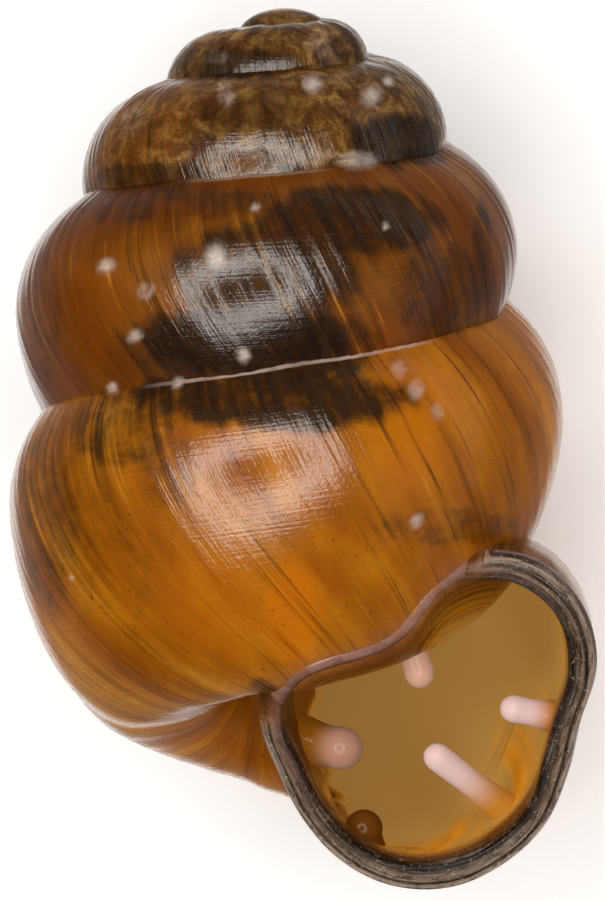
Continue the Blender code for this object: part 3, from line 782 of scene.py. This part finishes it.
def shell_material():
    """Amber horn, translucent and glossy, with growth lines, dark film, mottling and whitish specks; light through the
    thin wall is painted in, as a faint glow all over and a brighter glow from the lining.
    """
    made = material("amber_shell")
    g = Graph(made)
    spot = g.node("ShaderNodeTexCoord").outputs["Object"]
    spot = g.node("ShaderNodeVectorMath", spot, operation="SCALE", Scale=1 / MM).outputs[0]
    growth, below = g.value("growth"), g.value("below")
    lines = g.vector(g.times(growth, 150.0), g.times(below, 1.6))
    fine_lines = g.vector(g.times(growth, 420.0), g.times(below, 6.0))
    bands = g.vector(g.times(growth, 22.0), g.times(below, 1.4))
    spirals = g.vector(g.times(growth, 5.0), g.times(below, 130.0))
    streaks = g.noise(lines, 1.0, 3.0, 0.6)
    fine = g.noise(fine_lines, 1.0, 2.0, 0.6)
    broad = g.noise(bands, 1.0, 3.0, 0.55, 0.4)
    clouds = g.noise(spot, 3.2, 4.0, 0.55)
    mottle = g.noise(spot, 17.0, 6.0, 0.7, 0.6)
    grit = g.noise(spot, 95.0, 3.0, 0.7)
    scratches = g.noise(spirals, 1.0, 2.0, 0.5)

    shade = g.plus(g.times(broad, 0.6), g.times(clouds, 0.4))
    body = g.ramp(shade, [
        (0.32, rgb(122, 62, 5)), (0.70, rgb(205, 142, 40)), (0.45, rgb(150, 84, 6)), (0.56, rgb(174, 106, 14))])
    older = g.ramp(shade, [
        (0.32, rgb(74, 36, 8)), (0.70, rgb(150, 94, 28)), (0.45, rgb(98, 50, 8)), (0.56, rgb(120, 68, 14))])
    base = g.mix(g.step(g.value("whorl"), 1.02, 1.45), body, older)
    base = g.mix(g.times(g.value("warm"), 0.85), base, g.mix(g.step(g.value("whorl"), 1.02, 1.45), rgb(196, 108, 6), rgb(134, 70, 6)))
    base = g.mix(g.step(streaks, 0.55, 0.70, 0.0, 0.5), base, rgb(70, 34, 8))
    base = g.mix(g.times(g.step(streaks, 0.42, 0.28, 0.0, 0.5), g.step(clouds, 0.44, 0.60)), base, rgb(214, 146, 44))
    thin = g.noise(g.vector(g.times(growth, 230.0), g.times(below, 1.1)), 1.0, 2.0, 0.6)
    thin = g.times(g.step(thin, 0.60, 0.68), g.step(broad, 0.42, 0.58))
    base = g.mix(g.times(thin, 0.75), base, rgb(48, 26, 10))
    olive = g.ramp(mottle, [(0.36, rgb(26, 19, 12)), (0.66, rgb(168, 128, 62)), (0.5, rgb(92, 62, 26))])
    base = g.mix(g.times(g.value("upper"), 0.85), base, olive)
    # Deeper amber, mostly painted shade toward the whorls' sides, partly the shell's own reddish-brown.
    deep = g.times(g.value("deep"), g.step(streaks, 0.30, 0.62, 0.55, 1.0))
    base = g.mix(g.times(deep, 0.62), base, rgb(88, 42, 4))
    film = g.plus(g.value("dark"), g.times(g.plus(mottle, -0.5), 1.2))
    film = g.plus(film, g.times(g.plus(streaks, -0.5), 0.8))
    film = g.times(g.step(film, -0.02, 1.0), g.step(g.value("dark"), 0.0, 0.45))
    base = g.mix(g.times(film, 0.96), base, g.mix(g.step(mottle, 0.42, 0.64), rgb(22, 14, 9), rgb(46, 30, 17)))
    bloom = g.step(g.plus(g.value("pale"), g.times(g.plus(mottle, -0.5), 0.55)), 0.08, 0.72)
    bloom = g.times(bloom, g.step(g.value("pale"), 0.0, 0.16))
    base = g.mix(g.times(bloom, 0.85), base, rgb(205, 190, 180))
    thread = g.step(g.math("ABSOLUTE", g.plus(below, -0.030)), 0.010, 0.004)
    base = g.mix(g.times(g.times(g.value("seam"), thread), g.step(broad, 0.35, 0.6, 0.3, 0.8)), base, rgb(200, 172, 156))
    base = g.mix(g.times(g.step(scratches, 0.56, 0.70, 0.0, 0.30), g.step(clouds, 0.48, 0.62)), base, rgb(84, 44, 10))
    pits = g.noise(spot, 62.0, 2.0, 0.6)
    base = g.mix(g.times(g.step(pits, 0.64, 0.72, 0.0, 0.7), g.step(mottle, 0.46, 0.60)), base, rgb(30, 18, 8))

    layer = g.value("layer")
    lines = g.noise(g.vector(g.times(layer, 22.0), g.times(below, 5.0)), 1.0, 3.0, 0.6)
    # Lining colours by depth: the slope inside the lip keeps its own brown, and the paler tan deeper in is painted
    # light, standing in for light that comes through the thin wall into the hollow.
    inside = g.ramp(g.step(layer, 0.9, 2.3), [
        (0.0, rgb(62, 36, 14)), (1.0, rgb(166, 128, 66)), (0.17, rgb(104, 58, 12)), (0.40, rgb(158, 98, 18)),
        (0.66, rgb(176, 130, 56))])
    lower = g.value("gold")
    gold = g.noise(g.vector(g.times(layer, 7.0), g.times(below, 14.0)), 1.0, 3.0, 0.6, 0.5)
    inside = g.mix(g.times(lower, g.step(gold, 0.45, 0.62)), inside, rgb(206, 134, 26))
    lined = g.times(g.step(lines, 0.50, 0.60, 0.0, 0.8), g.math("MAXIMUM", lower, g.step(layer, 1.9, 1.4)))
    inside = g.mix(lined, inside, rgb(84, 48, 10))
    base = g.mix(g.value("inner"), base, inside)
    crackle = g.noise(g.vector(g.times(layer, 16.0), g.times(below, 46.0)), 1.0, 5.0, 0.75, 0.5)
    threads = g.noise(g.vector(g.times(layer, 60.0), g.times(below, 12.0)), 1.0, 3.0, 0.6)
    rim = g.ramp(g.plus(layer, g.times(g.plus(lines, -0.5), 0.22)), [
        (0.0, rgb(190, 172, 174)), (1.0, rgb(108, 62, 16)), (0.07, rgb(128, 100, 100)), (0.18, rgb(48, 34, 30)),
        (0.29, rgb(158, 138, 122)), (0.39, rgb(46, 32, 24)), (0.52, rgb(122, 98, 76)), (0.64, rgb(22, 14, 10)),
        (0.78, rgb(18, 11, 7)), (0.90, rgb(78, 48, 18))])
    rim = g.mix(g.step(threads, 0.55, 0.66, 0.0, 0.6), rim, rgb(176, 158, 142))
    rim = g.mix(g.step(crackle, 0.49, 0.58, 0.0, 0.8), rim, rgb(22, 14, 9))
    # Painted glints: small light flecks scattered over the lip.
    painted_glints = g.noise(spot, 105.0, 2.0, 0.6)
    rim = g.mix(g.step(painted_glints, 0.60, 0.70, 0.0, 0.40), rim, rgb(196, 176, 160))
    base = g.mix(g.value("lip"), base, rim)
    # Ridge colour: the callus's own grey-violet, and on the bead's outer half partly a painted highlight along the
    # crest.
    base = g.mix(g.times(g.value("ridge"), g.step(mottle, 0.38, 0.60, 0.40, 0.85)), base, rgb(150, 112, 104))
    base = g.mix(g.value("tooth"), base, rgb(206, 178, 176))

    height = g.plus(g.times(streaks, 0.6), g.times(fine, 0.5))
    height = g.plus(height, g.times(scratches, 0.30))
    height = g.plus(height, g.times(grit, 0.36))
    outside = g.math("SUBTRACT", 1.0, g.math("MAXIMUM", g.value("inner"), g.value("tooth")))
    bump = g.node("ShaderNodeBump", Strength=g.times(outside, 0.8), Distance=0.0028 * MM, Height=height)
    rough = g.plus(g.step(fine, 0.3, 0.7, 0.20, 0.36), g.times(g.value("pale"), 0.2))
    facing = g.node("ShaderNodeLayerWeight", Blend=0.5).outputs["Facing"]
    gloss = g.plus(g.step(facing, 0.34, 0.14, 0.05, 1.0), g.step(facing, 0.74, 0.88, 0.0, 0.9))
    gloss = g.times(gloss, g.plus(1.0, g.times(g.value("inner"), -0.75)))
    shader = g.node("ShaderNodeBsdfPrincipled", Base_Color=base, Roughness=rough, Normal=bump.outputs[0],
                    Coat_Weight=gloss, Coat_Normal=bump.outputs[0])
    shader.inputs["IOR"].default_value = 1.06
    shader.inputs["Subsurface Weight"].default_value = 0.2
    shader.inputs["Subsurface Radius"].default_value = (1.0, 0.5, 0.15)
    shader.inputs["Subsurface Scale"].default_value = 0.08 * MM
    shader.inputs["Coat Roughness"].default_value = 0.13
    shader.inputs["Coat IOR"].default_value = 1.6
    # Painted glow: the lining, more strongly deeper in, and faintly the whole shell emit their own colour, standing in
    # for light passing through the thin amber wall.
    glow = g.times(g.value("inner"), g.step(layer, 1.0, 2.0, 0.10, 0.36))
    g.plug(shader.inputs["Emission Color"], base)
    g.plug(shader.inputs["Emission Strength"], g.plus(glow, 0.05))
    g.node("ShaderNodeOutputMaterial", shader.outputs[0])
    return made


def floor_piece():
    """A plain pale sheet that the shell lies on."""
    half = FLOOR_HALF
    data = bpy.data.meshes.new("floor")
    data.from_pydata([(-half, -half, 0), (half, -half, 0), (half, half, 0), (-half, half, 0)], [], [(0, 1, 2, 3)])
    made = bpy.data.objects.new("floor", data)
    bpy.context.scene.collection.objects.link(made)
    paint = material("pale_floor")
    g = Graph(paint)
    shader = g.node("ShaderNodeBsdfPrincipled", Base_Color=(0.86, 0.885, 0.92, 1.0), Roughness=0.9)
    shader.inputs["Emission Color"].default_value = (1.0, 1.0, 1.0, 1.0)
    shader.inputs["Emission Strength"].default_value = FLOOR_GLOW
    g.node("ShaderNodeOutputMaterial", shader.outputs[0])
    data.materials.append(paint)


def laid_direction(direction):
    """A direction of the drawn shell as it lies."""
    turn = Matrix.Rotation(math.radians(REST_PITCH_DEG), 3, "X") @ Matrix.Rotation(math.radians(REST_ROLL_DEG), 3, "Y")
    return turn @ Vector(direction)


def laid_point(point):
    return (laid_direction(point) + Vector(REST_MOVE)) * MM


def photo_camera():
    """From above, looking at the mouth's side, a little from the apex: the photograph's own angle."""
    tilt = math.radians(CAMERA_TILT_DEG)
    back = laid_direction((0, math.sin(tilt), math.cos(tilt)))
    up = laid_direction((0, 1, 0))
    right = up.cross(back).normalized()
    up = back.cross(right)
    turn = Matrix((right, up, back)).transposed()
    turn = Matrix.Rotation(math.radians(CAMERA_ROLL_DEG), 3, back) @ turn
    x, height = place_of(PHOTO_SIZE[0] / 2, PHOTO_SIZE[1] / 2)
    aim = laid_point((x, height, 0.0))
    data = bpy.data.cameras.new("camera")
    data.lens = CAMERA_LENS
    data.sensor_width = 36
    distance = PHOTO_SIZE[1] / PHOTO_SCALE / 2 / (data.sensor_width / 2 / data.lens) * MM
    data.clip_start, data.clip_end = distance * 0.05, distance * 5
    camera = bpy.data.objects.new("camera", data)
    camera.matrix_world = Matrix.Translation(aim + back * distance) @ turn.to_4x4()
    bpy.context.scene.collection.objects.link(camera)
    bpy.context.scene.camera = camera
    return aim, right, up, back


def area_light(name, place, aim, size, power, spread=180.0):
    data = bpy.data.lights.new(name, "AREA")
    data.shape = "DISK"
    data.size = size
    data.energy = power
    data.color = LAMP_COLOUR
    data.spread = math.radians(spread)
    light = bpy.data.objects.new(name, data)
    light.location = place
    light.rotation_euler = (place - aim).to_track_quat("Z", "Y").to_euler()
    bpy.context.scene.collection.objects.link(light)


def studio(aim, right, up, back):
    """A ring of soft lamps round the camera's direction, two broad soft boxes and a white room."""
    for number in range(RING_LAMPS):
        angle = math.tau * number / RING_LAMPS
        lean = math.radians(RING_RADIUS_DEG)
        side = math.radians(RING_SIDE_DEG)
        middle = back * math.cos(side) + right * math.sin(side)
        across = middle.cross(up).normalized()
        way = middle * math.cos(lean) + (across * math.cos(angle) + up * math.sin(angle)) * math.sin(lean)
        area_light(f"ring_{number}", aim + way * RING_DISTANCE, aim, RING_LAMP_SIZE, RING_POWER,
                   RING_SPREAD_DEG)
    for name, (x, y, z), size, power in SOFT_BOXES:
        area_light(name, aim + (right * x + up * y + back * z) * MM, aim, size * MM, power)
    world = bpy.data.worlds.new("white_room")
    world.use_nodes = True
    world.node_tree.nodes["Background"].inputs["Color"].default_value = (1.0, 1.0, 1.0, 1.0)
    world.node_tree.nodes["Background"].inputs["Strength"].default_value = ROOM_LIGHT
    bpy.context.scene.world = world
    bpy.context.scene.view_settings.view_transform = "Standard"


shell = shell_piece()
shell.data.materials.append(shell_material())
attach(shell, "root")
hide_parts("shell")
floor_piece()
studio(*photo_camera())
